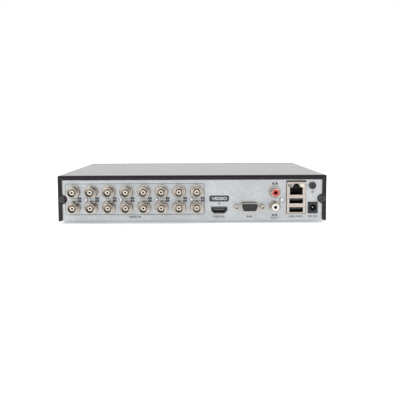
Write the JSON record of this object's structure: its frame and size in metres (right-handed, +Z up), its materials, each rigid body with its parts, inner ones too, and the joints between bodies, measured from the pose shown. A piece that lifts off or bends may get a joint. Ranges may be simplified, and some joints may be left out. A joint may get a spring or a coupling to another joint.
{
  "type": "video recorder",
  "caption": "Low flat security video recorder: black steel cover, galvanised rear panel with bayonet video jacks, monitor, audio, network, data and power sockets, disk drive and fan inside.",
  "frame": {"origin": "centre of the footprint, on the surface the rubber feet stand on", "axes": "+X across the case with the front bezel facing -Y and the connector panel facing +Y, +Z up"},
  "size_m": [0.26, 0.2314, 0.047],
  "materials": {
    "black_painted_steel": "black satin powder coat",
    "galvanised_steel": "dull zinc-coated sheet",
    "black_screw_steel": "black zinc plating",
    "bright_screw_steel": "bright zinc plating",
    "black_abs": "fine moulded texture",
    "gloss_black_acrylic": "polished",
    "clear_acrylic": "polished, frosted ends",
    "circuit_board": "green solder mask",
    "lamp_epoxy": "clear epoxy",
    "lamp_window_plastic": "translucent",
    "black_rubber": "moulded",
    "plated_brass": "nickel-plated spacer",
    "connector_plastic_black": "moulded nylon",
    "warm_nickel": "satin nickel plate on zinc",
    "shield_steel": "tin plate",
    "gold_plate": "gold flash",
    "insulator_cream": "moulded",
    "audio_red": "moulded",
    "audio_white": "moulded",
    "chip_epoxy": "moulded epoxy, fine grain",
    "heatsink_aluminium": "black anodised extrusion",
    "capacitor_can": "bare drawn can",
    "ferrite": "pressed powder",
    "cell_steel": "polished",
    "socket_nylon": "natural nylon",
    "cast_aluminium": "die cast",
    "drive_lid_steel": "satin stainless",
    "mirror_disc": "polished",
    "arm_aluminium": "machined",
    "red_cable": "extruded sheath",
    "yellow_cable": "extruded sheath",
    "black_wire": "extruded sheath",
    "white_wire": "extruded sheath"
  },
  "bodies": {
    "case": {"chassis": "galvanised_steel", "ground_screw": "black_screw_steel", "board_screws": "bright_screw_steel", "video_jack_screws": "bright_screw_steel", "audio_jack_screw": "bright_screw_steel", "fan_screws": "bright_screw_steel", "disk_screws": "bright_screw_steel", "front_bezel": "black_abs", "fan_frame": "black_abs", "buzzer": "black_abs", "battery_holder": "black_abs", "bezel_strip": "gloss_black_acrylic", "light_pipes": "clear_acrylic", "main_board": "circuit_board", "indicator_board": "circuit_board", "disk_board": "circuit_board", "indicator_lamps": "lamp_epoxy", "network_socket_lamps": "lamp_window_plastic", "rubber_feet": "black_rubber", "board_standoffs": "plated_brass", "video_jack_housings": "connector_plastic_black", "digital_video_tongue": "connector_plastic_black", "monitor_socket_insert": "connector_plastic_black", "monitor_socket_body": "connector_plastic_black", "audio_jack_housing": "connector_plastic_black", "network_socket_insert": "connector_plastic_black", "data_socket_tongues": "connector_plastic_black", "power_jack_body": "connector_plastic_black", "video_jack_barrels": "warm_nickel", "digital_video_shell": "warm_nickel", "monitor_socket_shell": "warm_nickel", "monitor_socket_posts": "warm_nickel", "audio_jack_shells": "warm_nickel", "power_jack_pin": "warm_nickel", "network_socket_shield": "shield_steel", "video_jack_contacts": "gold_plate", "audio_jack_contacts": "gold_plate", "network_socket_contacts": "gold_plate", "video_jack_insulators": "insulator_cream", "audio_in_insulator": "audio_red", "audio_out_insulator": "audio_white", "processor": "chip_epoxy", "memory_chips": "chip_epoxy", "video_chips": "chip_epoxy", "heatsink": "heatsink_aluminium", "capacitors": "capacitor_can", "power_coils": "ferrite", "coin_cell": "cell_steel", "board_sockets": "socket_nylon", "disk_base": "cast_aluminium", "disk_lid": "drive_lid_steel", "disk_data_cable": "red_cable", "disk_power_cable": "yellow_cable", "fan_lead": "black_wire", "indicator_lead": "white_wire"},
    "cover": {"top_cover": "black_painted_steel", "cover_screws": "black_screw_steel"},
    "fan_rotor": {"fan_rotor": "black_abs"},
    "disk_platters": {"disk_platters": "mirror_disc"},
    "head_arm": {"disk_head_arm": "arm_aluminium"}
  },
  "joints": [
    {"name": "cover_slide", "type": "slide", "parent": "case", "child": "cover", "axis": [0, 1, 0], "range_m": [0, 0.235]},
    {"name": "fan_spin", "type": "hinge", "parent": "case", "child": "fan_rotor", "pos_m": [0.12305, -0.04475, 0.0239], "axis": [1, 0, 0], "continuous": true},
    {"name": "disk_spin", "type": "hinge", "parent": "case", "child": "disk_platters", "pos_m": [-0.06095, -0.04615, 0.0193], "axis": [0, 0, 1], "continuous": true},
    {"name": "head_arm_swing", "type": "hinge", "parent": "case", "child": "head_arm", "pos_m": [-0.00295, -0.06815, 0.0203], "axis": [0, 0, 1], "range_deg": [0, 28]}
  ]
}
